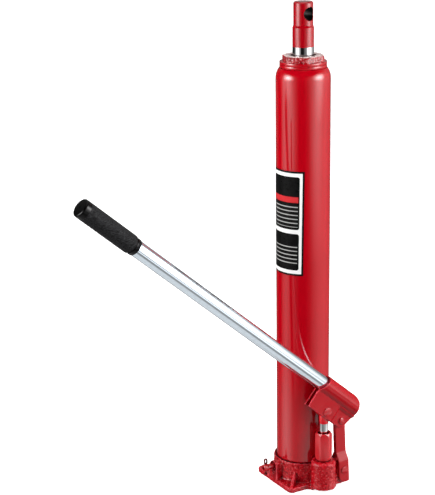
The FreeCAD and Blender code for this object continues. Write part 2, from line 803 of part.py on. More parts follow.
def upper_link_pin():
    # Rivet with a bevelled, dimpled head on both cheeks
    head_r = upper_head_d / 2
    pin = cross_rod(upper_pin_d / 2, Vec(0, -joggle_out, 0), along_y, 2 * joggle_out)
    for side in (1, -1):
        face = joggle_out + upper_head_height
        head = cross_rod(head_r, Vec(0, side * joggle_out, 0), along_y * side, upper_head_height)
        rim = [e for e in head.Edges if abs(abs(e.BoundBox.YMin) - face) < 1e-4 and e.BoundBox.YLength < 1e-4]
        head = head.makeFillet(upper_head_edge, rim)
        dimple = Part.makeSphere(upper_dimple_d / 2, Vec(0, side * (face + upper_dimple_d / 4), 0))
        pin = pin.fuse(head.cut(dimple))
    pin = pin.removeSplitter()
    pin.Placement = socket_frame
    return pin


def plunger_pin_shape():
    # Flush head on the near cheek, groove for a ring on the far one
    start = Vec(pin_spacing, cheek_out, -pin_sag)
    tail = cheek_out + 3 * clip_t
    pin = cross_rod(plunger_pin_d / 2, start, -along_y, cheek_out + tail)
    pin = pin.fuse(cross_rod(plunger_pin_head_d / 2, start, along_y, plunger_pin_head_t))
    groove_start = Vec(pin_spacing, -cheek_out, -pin_sag)
    pin = pin.cut(cross_ring(plunger_pin_d / 2 - clip_t, plunger_pin_d, groove_start, -along_y, clip_t))
    pin.Placement = socket_frame
    return pin


def retaining_ring(pin_d, start, way):
    # Open ring in a pin's groove
    clip = cross_ring(pin_d / 2 - clip_t + running, pin_d / 2 + 2 * clip_t, start, way, clip_t)
    mouth = pin_d / 2 - clip_t
    gap = Part.makeBox(2 * mouth, 2 * clip_t, 2 * pin_d, start + way * (clip_t / 2) - Vec(mouth, clip_t, 0))
    return clip.cut(gap)


def plunger_pin_clip():
    clip = retaining_ring(plunger_pin_d, Vec(pin_spacing, -cheek_out, -pin_sag), -along_y)
    clip.Placement = socket_frame
    return clip


def link(side):
    # Plate that lies flat at the top and steps out round the lug, in its own frame above the lower pin
    inner_low = lug_face + side_gap
    knee = link_joggle_low
    top_knee = link_joggle_low + link_joggle_rise
    top = link_length + link_width / 2
    half = link_width / 2
    faces = [(inner_low, -link_heel), (inner_low + link_t, -link_heel), (inner_low + link_t, knee),
             (link_in + link_t, top_knee), (link_in + link_t, top), (link_in, top), (link_in, top_knee),
             (inner_low, knee)]
    points = [Vec(-half, side * y, z) for y, z in faces]
    plate = Part.Face(Part.makePolygon(points + points[:1])).extrude(along_x * link_width)
    depth = 4 * link_out
    start = Vec(0, -depth / 2, link_length)
    outline = cross_rod(half, start, along_y, depth)
    outline = outline.fuse(box((-half, half), (-depth / 2, depth / 2), (-link_heel, link_length)))
    inset = link_heel_r - half
    rise = link_heel_r - link_heel
    corner = box((-half, inset), (-depth / 2, depth / 2), (-link_heel, rise))
    corner = corner.cut(cross_rod(link_heel_r, Vec(inset, -depth / 2, rise), along_y, depth))
    plate = plate.common(outline.cut(corner)).removeSplitter()
    plate = plate.cut(cross_rod(upper_pin_d / 2 + running, start, along_y, depth))
    plate = plate.cut(cross_rod(lower_pin_d / 2 + running, Vec(0, -depth / 2, 0), along_y, depth))
    plate.Placement = link_frame
    return plate


def lower_link_pin():
    # Headed pin through the lug and both links
    face = link_out + side_gap
    start = lower_pin - along_y * face
    tail = face + 3 * clip_t
    pin = cross_rod(lower_pin_d / 2, start, along_y, face + tail)
    pin = pin.fuse(cross_rod(lower_head_d / 2, start, -along_y, lower_head_t))
    groove = cross_ring(lower_pin_d / 2 - clip_t, lower_pin_d, lower_pin + along_y * face, along_y, clip_t)
    return pin.cut(groove)


def lower_pin_clip():
    return retaining_ring(lower_pin_d, lower_pin + along_y * (link_out + side_gap), along_y)


def handle_low():
    # Inner end of the handle, just ahead of the socket's back wall
    return -socket_back + socket_wall + side_gap


def handle_tube():
    start = Vec(handle_low(), 0, handle_lift)
    tube = cross_ring(handle_r - handle_wall, handle_r, start, along_x, handle_length)
    slot = Part.makeBox(handle_slot_depth, handle_d, handle_slot_width,
                        start - Vec(0, handle_r, handle_slot_width / 2))
    tube = tube.cut(slot)
    tube.Placement = socket_frame
    return tube


def handle_grip():
    # Sleeve with a closed, rounded end and a narrower collar
    tip = handle_low() + handle_length + grip_end_t
    radius = grip_d / 2
    inner = handle_r + running
    start = tip - grip_length
    bow = grip_end_r * (1 - math.sqrt(0.5))
    step = (grip_d - grip_collar_d) / 2

    def at(along, out):
        return Vec(along, 0, handle_lift + out)

    spots = [(start, inner), (start, grip_collar_d / 2), (start + grip_collar_length, grip_collar_d / 2),
             (start + grip_collar_length + step, radius), (tip - grip_end_r, radius)]
    corners = [at(*spot) for spot in spots]
    tip_side = at(tip, radius - grip_end_r)
    middle = at(tip, 0)
    floor = at(tip - grip_end_t, 0)
    floor_side = at(tip - grip_end_t, inner)
    outline = [line(a, b) for a, b in zip(corners, corners[1:])]
    outline += [arc(corners[-1], at(tip - bow, radius - bow), tip_side), line(tip_side, middle),
                line(middle, floor), line(floor, floor_side), line(floor_side, corners[0])]
    grip = Part.Face(Part.Wire(outline)).revolve(middle, along_x, 360)
    grip.Placement = socket_frame
    return grip


def release_face():
    return -half_x


def release_at(x):
    return Vec(x, 0, release_z)


def spindle_spots():
    # Head end, neck end, thread start and tip along X
    face = release_face() + recess_depth
    neck = face - spindle_neck_length
    return neck - spindle_head_length, neck, face, face + spindle_thread_length


def release_seats():
    face, tip = spindle_spots()[2:]
    ball_end = tip + spindle_tip_length + release_ball_d
    return [cross_rod(recess_d / 2, release_at(release_face()), along_x, recess_depth),
            cross_rod(spindle_d / 2 + running, release_at(face), along_x, spindle_thread_length + end_gap),
            cross_rod(release_ball_d / 2 + running, release_at(face), along_x, ball_end - face)]


def release_spindle():
    head, neck, face, tip = spindle_spots()
    spindle = cross_rod(spindle_head_d / 2, release_at(head), along_x, spindle_head_length)
    rims = [e for e in spindle.Edges if isinstance(e.Curve, Part.Circle)]
    spindle = spindle.makeChamfer(spindle_head_edge, rims)
    spindle = spindle.fuse(cross_rod(spindle_neck_d / 2, release_at(neck), along_x, face - neck))
    spindle = spindle.fuse(cross_rod(spindle_d / 2, release_at(face), along_x, tip - face))
    point = Part.makeCone(spindle_tip_d / 2, spindle_tip_d / 4, spindle_tip_length - running,
                          release_at(tip), along_x)
    spindle = spindle.fuse(point).removeSplitter()
    groove_start = release_at(face + spindle_ring_width)
    ring_r = spindle_d / 2 - spindle_ring_depth
    spindle = spindle.cut(cross_ring(ring_r, spindle_d, groove_start, along_x, spindle_ring_width))
    spindle = spindle.cut(cross_rod(spindle_socket_d / 2, release_at(head), along_x, spindle_socket_depth))
    middle = release_at((head + neck) / 2)
    return spindle.cut(cross_rod(split_wire_d / 2 + running, middle - along_z * spindle_head_d, along_z,
                                 2 * spindle_head_d))


def spindle_oring():
    start = release_at(spindle_spots()[2] + spindle_ring_width)
    inner = spindle_d / 2 - spindle_ring_depth + running
    return cross_ring(inner, spindle_d / 2, start, along_x, spindle_ring_width)


def release_ball():
    tip = spindle_spots()[3]
    return Part.makeSphere(release_ball_d / 2, release_at(tip + spindle_tip_length + release_ball_d / 2))


def release_pin():
    # Split pin: long eye above the spindle's head, two spread legs below
    head, neck = spindle_spots()[:2]
    x = (head + neck) / 2
    wire_r = split_wire_d / 2
    bend = split_eye_width / 2 - wire_r
    head_low = release_z - spindle_head_d / 2
    head_top = release_z + spindle_head_d / 2 + running
    low = head_top + wire_r + bend
    high = head_top + split_eye_height - wire_r - bend

    def at(across, height):
        return Vec(x + across, 0, height)

    path = Part.Wire([line(at(-bend, low), at(-bend, high)),
                      arc(at(-bend, high), at(0, high + bend), at(bend, high)),
                      line(at(bend, high), at(bend, low)),
                      arc(at(bend, low), at(0, low - bend), at(-bend, low))])
    section = Part.Wire(Part.makeCircle(wire_r, at(-bend, low), along_z))
    pin = path.makePipeShell([section], True, False)
    pin = pin.fuse(rod(wire_r, head_low - 2 * wire_r, head_top + wire_r, x, 0))
    for side in (-1, 1):
        lean = math.radians(side * split_spread)
        way = Vec(math.sin(lean), 0, -math.cos(lean))
        pin = pin.fuse(cross_rod(wire_r, at(0, head_low - wire_r), way, split_leg))
    return pin.removeSplitter()


pieces = {
    "base": base(),
    "reservoir_tube": reservoir_tube(),
    "filler_plug": filler_plug(),
    "tube_seal": tube_seal(),
    "base_gasket": base_gasket(),
    "inner_cylinder": inner_cylinder(),
    "cylinder_washer": cylinder_washer(),
    "top_washer": top_washer(),
    "gland_nut": gland_nut(),
    "guide_bush": guide_bush(),
    "rod_seal": rod_seal(),
    "wiper": wiper(),
    "ram": ram(),
    "piston": piston(),
    "piston_seal": piston_seal(),
    "piston_backup_ring": piston_backup_ring(),
    "wear_ring": wear_ring(),
    "piston_nut": piston_nut(),
    "stop_sleeve": stop_sleeve(),
    "valve_plugs": valve_plugs(),
    "valve_balls": valve_balls(),
    "valve_springs": valve_springs(),
    "suction_strainer": suction_strainer(),
    "pump_cylinder": pump_cylinder(),
    "pump_washer": pump_washer(),
    "pump_wiper": pump_wiper(),
    "plunger": plunger(),
    "plunger_oring": plunger_oring(),
    "plunger_backup_ring": plunger_backup_ring(),
    "handle_socket": handle_socket(),
    "upper_link_pin": upper_link_pin(),
    "plunger_pin": plunger_pin_shape(),
    "plunger_pin_clip": plunger_pin_clip(),
    "link_front": link(-1),
    "link_back": link(1),
    "lower_link_pin": lower_link_pin(),
    "lower_pin_clip": lower_pin_clip(),
    "handle_tube": handle_tube(),
    "handle_grip": handle_grip(),
    "release_spindle": release_spindle(),
    "spindle_oring": spindle_oring(),
    "release_ball": release_ball(),
    "release_pin": release_pin(),
}

os.makedirs("parts", exist_ok=True)
for name, shape in pieces.items():
    shape.exportStep(f"parts/{name}.step")
    print(f"{name}: {len(shape.Solids)} solid, {shape.Volume / 1000:.2f} cm3, valid {shape.isValid()}")
print(f"upper pin {upper_pin.x:.2f} {upper_pin.z:.2f}, link {link_length:.2f}")
print(f"ram top {ram_top:.1f}, stroke {stroke:.1f}")
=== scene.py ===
import json
import math

import bpy
import numpy
from mathutils import Matrix, Vector

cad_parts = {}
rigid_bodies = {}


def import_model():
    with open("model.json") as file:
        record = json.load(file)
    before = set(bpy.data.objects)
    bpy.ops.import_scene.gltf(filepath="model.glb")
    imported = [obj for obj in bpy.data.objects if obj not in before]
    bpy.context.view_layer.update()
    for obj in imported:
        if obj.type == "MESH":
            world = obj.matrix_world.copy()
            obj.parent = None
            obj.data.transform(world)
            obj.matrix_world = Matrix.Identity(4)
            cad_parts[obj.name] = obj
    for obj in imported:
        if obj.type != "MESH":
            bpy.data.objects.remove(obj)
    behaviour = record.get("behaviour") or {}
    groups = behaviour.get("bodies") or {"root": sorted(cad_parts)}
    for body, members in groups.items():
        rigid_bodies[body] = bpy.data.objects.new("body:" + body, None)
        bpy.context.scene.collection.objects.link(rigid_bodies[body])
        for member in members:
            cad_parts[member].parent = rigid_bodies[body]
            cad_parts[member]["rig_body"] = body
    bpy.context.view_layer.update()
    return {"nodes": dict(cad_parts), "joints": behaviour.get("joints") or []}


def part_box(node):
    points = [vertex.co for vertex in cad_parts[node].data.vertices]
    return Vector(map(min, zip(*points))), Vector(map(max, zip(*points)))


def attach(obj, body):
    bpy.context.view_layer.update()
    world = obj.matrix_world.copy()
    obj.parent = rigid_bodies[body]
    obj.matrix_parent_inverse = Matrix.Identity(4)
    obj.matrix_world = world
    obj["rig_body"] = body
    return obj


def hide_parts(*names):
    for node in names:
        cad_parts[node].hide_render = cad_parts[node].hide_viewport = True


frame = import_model()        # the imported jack: metres, +Z up along the ram, pump on -Y
nodes = frame["nodes"]
joints = {joint["name"]: joint for joint in frame["joints"]}
mm = 0.001


# Hands: picking, editing and finishing a piece

handLook = {"ringWeld": 0.001 * mm, "nodeWeld": 0.005 * mm, "edgeSegments": 2}
skinLook = {"softness": 0.5, "lumpDetail": 2, "lumpLevel": 0.6}      # lumps carve in more than they stand out


def deselectAll():
    if bpy.context.object and bpy.context.object.mode != "OBJECT":
        bpy.ops.object.mode_set(mode="OBJECT")
    bpy.ops.object.select_all(action="DESELECT")


def pick(piece):
    deselectAll()
    piece.select_set(True)
    bpy.context.view_layer.objects.active = piece


def startEdit(piece):
    pick(piece)
    bpy.ops.object.mode_set(mode="EDIT")
    bpy.ops.mesh.select_all(action="SELECT")


def endEdit():
    bpy.ops.object.mode_set(mode="OBJECT")


def settle(piece):
    pick(piece)
    bpy.ops.object.transform_apply(location=True, rotation=True, scale=True)


def addModifier(piece, kind, **settings):
    modifier = piece.modifiers.new(kind.lower(), kind)
    for key, value in settings.items():
        setattr(modifier, key, value)
    pick(piece)
    bpy.ops.object.modifier_apply(modifier=modifier.name)


def shadeByAngle(piece, degrees):
    pick(piece)
    bpy.ops.object.shade_smooth_by_angle(angle=math.radians(degrees))


def roundEdges(piece, width, degrees):
    addModifier(piece, "BEVEL", width=width, segments=handLook["edgeSegments"], limit_method="ANGLE",
                angle_limit=math.radians(degrees), harden_normals=False)


def turnPiece(name, steps, sides, hollow=False):
    # Rings pulled up along Z from the first one; a hollow piece comes back to its first ring
    deselectAll()
    radius, height = steps[0]
    bpy.ops.mesh.primitive_circle_add(vertices=sides, radius=radius, location=(0, 0, height),
                                      fill_type="NOTHING" if hollow else "NGON")
    piece = bpy.context.object
    piece.name = name
    settle(piece)
    startEdit(piece)
    for nextRadius, nextHeight in steps[1:]:
        bpy.ops.mesh.extrude_region_move(TRANSFORM_OT_translate={"value": (0, 0, nextHeight - height)})
        ratio = nextRadius / radius
        bpy.ops.transform.resize(value=(ratio, ratio, 1), center_override=(0, 0, nextHeight))
        radius, height = nextRadius, nextHeight
    bpy.ops.mesh.select_all(action="SELECT")
    bpy.ops.mesh.remove_doubles(threshold=handLook["ringWeld"])
    bpy.ops.mesh.normals_make_consistent(inside=False)
    endEdit()
    return piece


def layAlong(piece, start, way):
    piece.rotation_mode = "QUATERNION"
    piece.rotation_quaternion = Vector(way).to_track_quat("Z", "Y")
    piece.location = start
    settle(piece)


def copyNode(node, name):
    # A merged copy of a CAD node, free of its loose triangles
    mesh = nodes[node].data.copy()
    mesh.name = name
    mesh.materials.clear()
    piece = bpy.data.objects.new(name, mesh)
    bpy.context.scene.collection.objects.link(piece)
    pick(piece)
    bpy.ops.mesh.customdata_custom_splitnormals_clear()
    startEdit(piece)
    bpy.ops.mesh.remove_doubles(threshold=handLook["nodeWeld"])
    endEdit()
    return piece


def softSkin(piece, voxel, passes, lumps=()):
    # Voxel skin with soft edges, then lumps as (size, depth) pairs
    addModifier(piece, "REMESH", mode="VOXEL", voxel_size=voxel, use_smooth_shade=True)
    addModifier(piece, "SMOOTH", factor=skinLook["softness"], iterations=passes)
    for number, (size, depth) in enumerate(lumps):
        sand = bpy.data.textures.new(f"{piece.name}Sand{number}", "CLOUDS")
        sand.noise_scale = size
        sand.noise_depth = skinLook["lumpDetail"]
        addModifier(piece, "DISPLACE", texture=sand, strength=depth, mid_level=skinLook["lumpLevel"],
                    texture_coords="LOCAL")


def markRidges(piece, passes):
    # How far each point stands out from its surroundings: above zero on ridges, below it in hollows; the paints
    # turn this into painted highlights on ridges and painted shade in hollows
    mesh = piece.data
    count = len(mesh.vertices)
    places = numpy.empty(count * 3)
    normals = numpy.empty(count * 3)
    ends = numpy.empty(len(mesh.edges) * 2, dtype=numpy.int32)
    mesh.vertices.foreach_get("co", places)
    mesh.vertices.foreach_get("normal", normals)
    mesh.edges.foreach_get("vertices", ends)
    places = places.reshape(-1, 3)
    first, second = ends.reshape(-1, 2).T
    share = 1 / numpy.bincount(ends, minlength=count)
    soft = places.copy()
    for step in range(passes):
        near = [numpy.bincount(first, soft[second, axis], count)
                + numpy.bincount(second, soft[first, axis], count) for axis in range(3)]
        soft = (soft + numpy.stack(near, axis=1) * share[:, None]) / 2
    stand = ((places - soft) * normals.reshape(-1, 3)).sum(axis=1)
    ridge = mesh.attributes.new("ridge", "FLOAT", "POINT")
    ridge.data.foreach_set("value", stand.astype(numpy.float32))


def finishPiece(piece, material, slot, *replaced, body=None):
    if not piece.data.materials:
        piece.data.materials.append(material)
    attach(piece, body or nodes[replaced[0]]["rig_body"])
    if replaced:
        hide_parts(*replaced)
    return piece


# Finishes

def startMaterial(name):
    material = bpy.data.materials.new(name)
    material.use_nodes = True
    tree = material.node_tree
    return material, tree, tree.nodes["Principled BSDF"]


def addNode(tree, kind, inputs=None, **settings):
    node = tree.nodes.new(kind)
    for key, value in settings.items():
        setattr(node, key, value)
    for socket, value in (inputs or {}).items():
        if isinstance(value, bpy.types.NodeSocket):
            tree.links.new(value, node.inputs[socket])
        else:
            node.inputs[socket].default_value = value
    return node


def objectPlace(tree, scale=(1, 1, 1), turn=(0, 0, 0)):
    coords = addNode(tree, "ShaderNodeTexCoord")
    inputs = {"Vector": coords.outputs["Object"], "Scale": scale, "Rotation": turn}
    return addNode(tree, "ShaderNodeMapping", inputs).outputs["Vector"]


def noiseAt(tree, place, scale, detail, roughness=0.55):
    inputs = {"Vector": place, "Scale": scale, "Detail": detail, "Roughness": roughness}
    return addNode(tree, "ShaderNodeTexNoise", inputs).outputs["Fac"]


def calc(tree, operation, *values):
    return addNode(tree, "ShaderNodeMath", dict(enumerate(values)), operation=operation).outputs[0]


def spread(tree, value, low, high, fromLow=0.3, fromHigh=0.7):
    # Stretches a value to a new range; most of a noise lies between 0.3 and 0.7
    inputs = {"Value": value, "From Min": fromLow, "From Max": fromHigh, "To Min": low, "To Max": high}
    return addNode(tree, "ShaderNodeMapRange", inputs).outputs["Result"]


def blendColours(tree, share, first, second, mode="MIX"):
    inputs = {"Factor": share, 6: first, 7: second}      # 6 and 7 are the node's two colours
    return addNode(tree, "ShaderNodeMix", inputs, data_type="RGBA", blend_type=mode).outputs[2]


def tinted(tree, first, second):
    return blendColours(tree, 1.0, first, second, "MULTIPLY")


def addBump(tree, height, depth, under=None):
    inputs = {"Height": height, "Strength": 1.0, "Distance": depth}
    if under:
        inputs["Normal"] = under
    return addNode(tree, "ShaderNodeBump", inputs).outputs["Normal"]


def shaded(colour, share):
    return [part * share for part in colour[:3]] + [1]


paintLook = {
    "deep": (0.405, 0.0007, 0.0060, 1), "light": (0.458, 0.0010, 0.0078, 1), "patch": 14.0,
    "peel": 300.0, "peelDepth": 0.000012, "rough": (0.30, 0.42), "undercoat": 0.0,
    "pitGrain": (0.28, 0.46), "pitShare": 0.75, "pitShade": 0.25,       # painted shade: paint is darker in the pits
    # painted glints: pale specks on the high grains
    "paintedGlint": (0.78, 0.30, 0.31, 1), "paintedGlintGrain": (0.56, 0.70),
    # painted highlight that pales the top faces
    "topGlare": (0.95, 0.80, 0.77, 1), "topGlareGrain": (0.40, 0.58), "topGlareLeast": 0.35, "topGlareFade": 0.8 * mm,
    # painted highlight colour for ridges; hollowShade is the painted shade in hollows
    "ridge": (0.90, 0.10, 0.14, 1), "hollowShade": 0.12,
}


def makePaint(name, shade=1.0, coat=1.0, coatRough=0.05, coatIor=1.5, grain=None, glint=0.0, topGlare=None,
              ridge=None):
    # grain is (size, depth); glint is how pale the painted glints on the high grains are, and it also lays
    # painted shade in the pits; the top-face setting is (height, paleness) of a painted highlight;
    # ridge is (height, paleness of ridges, darkness of hollows): a painted highlight on ridges and painted
    # shade in hollows
    look = paintLook
    material, tree, shader = startMaterial(name)
    place = objectPlace(tree)
    patch = noiseAt(tree, place, look["patch"], 4.0)
    deep = shaded(look["deep"], shade)
    colour = blendColours(tree, spread(tree, patch, 0.0, 1.0), deep, shaded(look["light"], shade))
    normal = addBump(tree, noiseAt(tree, place, look["peel"], 1.0), look["peelDepth"])
    if grain:
        sand = noiseAt(tree, place, 1 / grain[0], 1.0, 0.5)
        normal = addBump(tree, sand, grain[1], normal)
    # painted shade darkens the pits, and pale specks on the high grains are painted glints
    if glint:
        pitShadeShare = spread(tree, sand, look["pitShare"], 0.0, *look["pitGrain"])
        colour = blendColours(tree, pitShadeShare, colour, shaded(deep, look["pitShade"]))
        glintShare = spread(tree, sand, 0.0, glint, *look["paintedGlintGrain"])
        colour = blendColours(tree, glintShare, colour, look["paintedGlint"])
    # painted highlight: faces near the given height turn pale, standing for the bright reflection a top face
    # catches
    if topGlare:
        up = addNode(tree, "ShaderNodeSeparateXYZ", {"Vector": place}).outputs["Z"]
        level = spread(tree, up, 0.0, topGlare[1], topGlare[0] - look["topGlareFade"], topGlare[0])
        topGlareShare = calc(tree, "MULTIPLY", level, spread(tree, sand, look["topGlareLeast"], 1.0, *look["topGlareGrain"]))
        colour = blendColours(tree, topGlareShare, colour, look["topGlare"])
    # painted highlight on ridges and painted shade in hollows
    if ridge:
        stand = addNode(tree, "ShaderNodeAttribute", attribute_name="ridge").outputs["Fac"]
        hollow = spread(tree, stand, ridge[2], 0.0, -ridge[0], -ridge[0] / 4)
        colour = blendColours(tree, hollow, colour, shaded(deep, look["hollowShade"]))
        crestHighlight = spread(tree, stand, 0.0, ridge[1], ridge[0] / 3, ridge[0])
        colour = blendColours(tree, crestHighlight, colour, look["ridge"])
    tree.links.new(colour, shader.inputs["Base Color"])
    tree.links.new(spread(tree, patch, *look["rough"]), shader.inputs["Roughness"])
    tree.links.new(normal, shader.inputs["Normal"])
    tree.links.new(normal, shader.inputs["Coat Normal"])
    shader.inputs["Specular IOR Level"].default_value = look["undercoat"]
    shader.inputs["Coat Weight"].default_value = coat
    shader.inputs["Coat Roughness"].default_value = coatRough
    shader.inputs["Coat IOR"].default_value = coatIor
    return material


metalLook = {"lineDepth": 0.002 * mm, "clouds": 45.0}


def makeMetal(name, colour, rough, lines, turn=(0, 0, 0), tint=0.85):
    # Bright metal with fine lines left by turning, drawing or polishing
    material, tree, shader = startMaterial(name)
    streaks = noiseAt(tree, objectPlace(tree, lines, turn), 1.0, 3.0, 0.6)
    clouds = noiseAt(tree, objectPlace(tree), metalLook["clouds"], 4.0)
    lined = blendColours(tree, spread(tree, streaks, 0.0, 1.0), shaded(colour, tint), colour)
    tree.links.new(lined, shader.inputs["Base Color"])
    tree.links.new(spread(tree, clouds, *rough), shader.inputs["Roughness"])
    tree.links.new(addBump(tree, streaks, metalLook["lineDepth"]), shader.inputs["Normal"])
    shader.inputs["Metallic"].default_value = 1.0
    return material


softLook = {"rubbed": 70.0, "rubbedFrom": (0.4, 0.75), "ribsFrom": (0.35, 0.68)}


def makeSoft(name, colour, worn, rough, grain, depth, shine=0.5):
    # Rubber and plastics: fine moulded grain and rubbed patches
    material, tree, shader = startMaterial(name)
    place = objectPlace(tree)
    rubbed = noiseAt(tree, place, softLook["rubbed"], 5.0, 0.6)
    pebbles = addNode(tree, "ShaderNodeTexVoronoi", {"Vector": place, "Scale": 1 / grain}).outputs["Distance"]
    patches = blendColours(tree, spread(tree, rubbed, 0.0, 1.0, *softLook["rubbedFrom"]), colour, worn)
    tree.links.new(patches, shader.inputs["Base Color"])
    tree.links.new(spread(tree, rubbed, *rough), shader.inputs["Roughness"])
    tree.links.new(addBump(tree, pebbles, depth), shader.inputs["Normal"])
    shader.inputs["Specular IOR Level"].default_value = shine
    return material


def makeRibbed(name, colour, worn, rough, lines, turn, depth, shine):
    # Moulded rubber with fine broken ribs along one way
    material, tree, shader = startMaterial(name)
    ribs = noiseAt(tree, objectPlace(tree, lines, turn), 1.0, 2.0, 0.6)
    ribbed = blendColours(tree, spread(tree, ribs, 0.0, 1.0, *softLook["ribsFrom"]), colour, worn)
    tree.links.new(ribbed, shader.inputs["Base Color"])
    tree.links.new(spread(tree, ribs, *reversed(rough)), shader.inputs["Roughness"])
    tree.links.new(addBump(tree, ribs, depth), shader.inputs["Normal"])
    shader.inputs["Specular IOR Level"].default_value = shine
    return material


handleWay = Vector(joints["handle_pull"]["axis"]).normalized()
handleLean = math.atan2(handleWay.z, -handleWay.x)      # of the handle above the floor

redPaint = makePaint("redPaint")
rodPaint = makePaint("rodPaint", shade=0.80)
flangePaint = makePaint("flangePaint", shade=0.92, coat=0.9, coatRough=0.16)
pinPaint = makePaint("pinPaint", shade=0.98, coatRough=0.08)
# paler red for the plunger's painted top: painted light where it sits in the socket's shade
plungerPaint = makePaint("plungerPaint", shade=1.5, coatRough=0.12)
# very dark red: the split pin's own sprayed colour; on the pump washer it is painted shade of the crevice under
# the barrel
washerPaint = makePaint("washerPaint", shade=0.28, coat=0.3, coatRough=0.30)
sprayedPaint = makePaint("sprayedPaint", shade=0.14, coat=0.15, coatRough=0.40)      # very dark red for the seal ring at the foot of the tube
barrelPaint = makePaint("barrelPaint", shade=1.2, coatRough=0.28, coatIor=1.8)
# glint and ridge settings paint highlights on grains and ridges and shade in pits and hollows
castPaint = makePaint("castPaint", coat=0.60, coatRough=0.10, grain=(2.4 * mm, 0.60 * mm), glint=0.16,
                      ridge=(0.8 * mm, 0.42, 0.75))
# the nut's top face gets a painted highlight
nutPaint = makePaint("nutPaint", shade=0.66, coat=0.55, coatRough=0.10, grain=(2.6 * mm, 0.80 * mm), glint=0.35,
                     topGlare=(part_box("gland_nut")[1].z, 1.0))
socketPaint = makePaint("socketPaint", shade=0.92, coat=0.50, coatRough=0.10, grain=(9.0 * mm, 0.18 * mm),
                        ridge=(0.7 * mm, 0.65, 0.6))
linkPaint = makePaint("linkPaint", shade=0.88, coat=0.70, coatRough=0.50, grain=(9.0 * mm, 0.18 * mm),
                      ridge=(0.7 * mm, 0.30, 0.6))
chrome = makeMetal("chrome", (0.86, 0.87, 0.88, 1), (0.05, 0.09), (6, 6, 2600))
# the ram's chrome, much darker than the plunger's to tone down its reflections: painted shade
hardChrome = makeMetal("hardChrome", (0.37, 0.37, 0.375, 1), (0.05, 0.09), (6, 6, 2600))
plated = makeMetal("plated", (0.75, 0.83, 0.90, 1), (0.07, 0.13), (30, 500, 500), (0, handleLean, 0), tint=0.9)
# unpainted steel inside the ram's cross hole, made near-black as painted shade
darkSteel = makeMetal("darkSteel", (0.022, 0.020, 0.019, 1), (0.32, 0.45), (900, 900, 900), tint=0.6)
bareSteel = makeMetal("bareSteel", (0.56, 0.56, 0.57, 1), (0.25, 0.38), (40, 40, 1800))
bronze = makeMetal("bronze", (0.62, 0.40, 0.20, 1), (0.24, 0.36), (40, 40, 1800))
blackSteel = makeSoft("blackSteel", (0.010, 0.009, 0.008, 1), (0.020, 0.019, 0.018, 1), rough=(0.35, 0.5),
                      grain=0.8 * mm, depth=0.01 * mm, shine=0.25)
blackRubber = makeSoft("blackRubber", (0.004, 0.004, 0.004, 1), (0.010, 0.010, 0.010, 1), rough=(0.45, 0.6),
                       grain=0.7 * mm, depth=0.02 * mm, shine=0.08)
capRubber = makeSoft("capRubber", (0.001, 0.001, 0.001, 1), (0.002, 0.002, 0.002, 1), rough=(0.09, 0.14),
                     grain=0.9 * mm, depth=0.01 * mm, shine=0.14)
gripRubber = makeRibbed("gripRubber", (0.002, 0.002, 0.002, 1), (0.036, 0.036, 0.038, 1), rough=(0.45, 0.6),
                        lines=(260, 1500, 1500), turn=(0, handleLean, 0), depth=0.25 * mm, shine=0.06)
whitePlastic = makeSoft("whitePlastic", (0.78, 0.77, 0.72, 1), (0.70, 0.69, 0.63, 1), rough=(0.35, 0.5),
                        grain=0.9 * mm, depth=0.01 * mm)
print("finishes made")


# Reservoir tube: drawn tube with a swaged shoulder

tubeLook = {"wall": 3.0 * mm, "shoulderR": 22.0 * mm, "drawIn": 4.4 * mm, "lip": 5.7 * mm, "lipDepth": 3.5 * mm,
            "shoulderSteps": 14, "sides": 160, "smooth": 25}


def makeTube():
    low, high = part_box("reservoir_tube")
    outer = (high.x - low.x) / 2
    inner = outer - tubeLook["wall"]
    curveR = tubeLook["shoulderR"]
    rise = math.acos((curveR - tubeLook["drawIn"]) / curveR)
    curveLow = high.z - curveR * math.sin(rise)
    count = tubeLook["shoulderSteps"]
    turns = [rise * step / count for step in range(count + 1)]
    outside = [(outer - curveR * (1 - math.cos(t)), curveLow + curveR * math.sin(t)) for t in turns]
    lipBore = outer - tubeLook["drawIn"] - tubeLook["lip"]
    lipLow = high.z - tubeLook["lipDepth"]
    inside = [(lipBore, high.z), (lipBore, lipLow), (inner - tubeLook["drawIn"], lipLow), (inner, curveLow),
              (inner, low.z), (outer, low.z)]
    tube = turnPiece("reservoirTube", [(outer, low.z)] + outside + inside, tubeLook["sides"], hollow=True)
    shadeByAngle(tube, tubeLook["smooth"])
    return finishPiece(tube, redPaint, "paint_red", "reservoir_tube")


# Decal on the tube's side: two dark panels in a white border, with a stripe and plain rules

labelLook = {
    "low": 289.5 * mm, "high": 424.7 * mm, "halfTurn": 62.0, "sides": 180, "lift": 0.02 * mm, "film": 0.12 * mm,
    "topTurn": -1.2, "lowTurn": -4.4, "cutSlack": 0.01, "smooth": 35,
    "outline": 2.5 * mm, "border": 4.6 * mm, "sideBorder": 3.5 * mm, "corner": 3.0 * mm, "edgeCorner": 0.5 * mm,
    "bandMiddle": 347.0 * mm, "bandWidth": 5.4 * mm,
    "stripeLow": 384.5 * mm, "stripeHigh": 392.0 * mm, "stripeInset": 1.5 * mm, "stripeCorner": 0.6 * mm,
    "rulePitch": 5.2 * mm, "ruleWidth": 1.2 * mm, "ruleInset": 2.0 * mm, "ruleCorner": 0.1 * mm,
    "ruleBands": ((353.0 * mm, 381.0 * mm), (303.0 * mm, 330.0 * mm)),
    "feather": 0.1 * mm, "ruleFeather": 0.2 * mm, "speckle": 260.0, "rough": (0.26, 0.36), "shine": 0.04,
    "ink": (0.003, 0.003, 0.003, 1), "paleInk": (0.007, 0.007, 0.007, 1), "paper": (0.86, 0.86, 0.85, 1),
    "stripe": (0.56, 0.030, 0.035, 1), "rule": (0.42, 0.42, 0.41, 1),
}


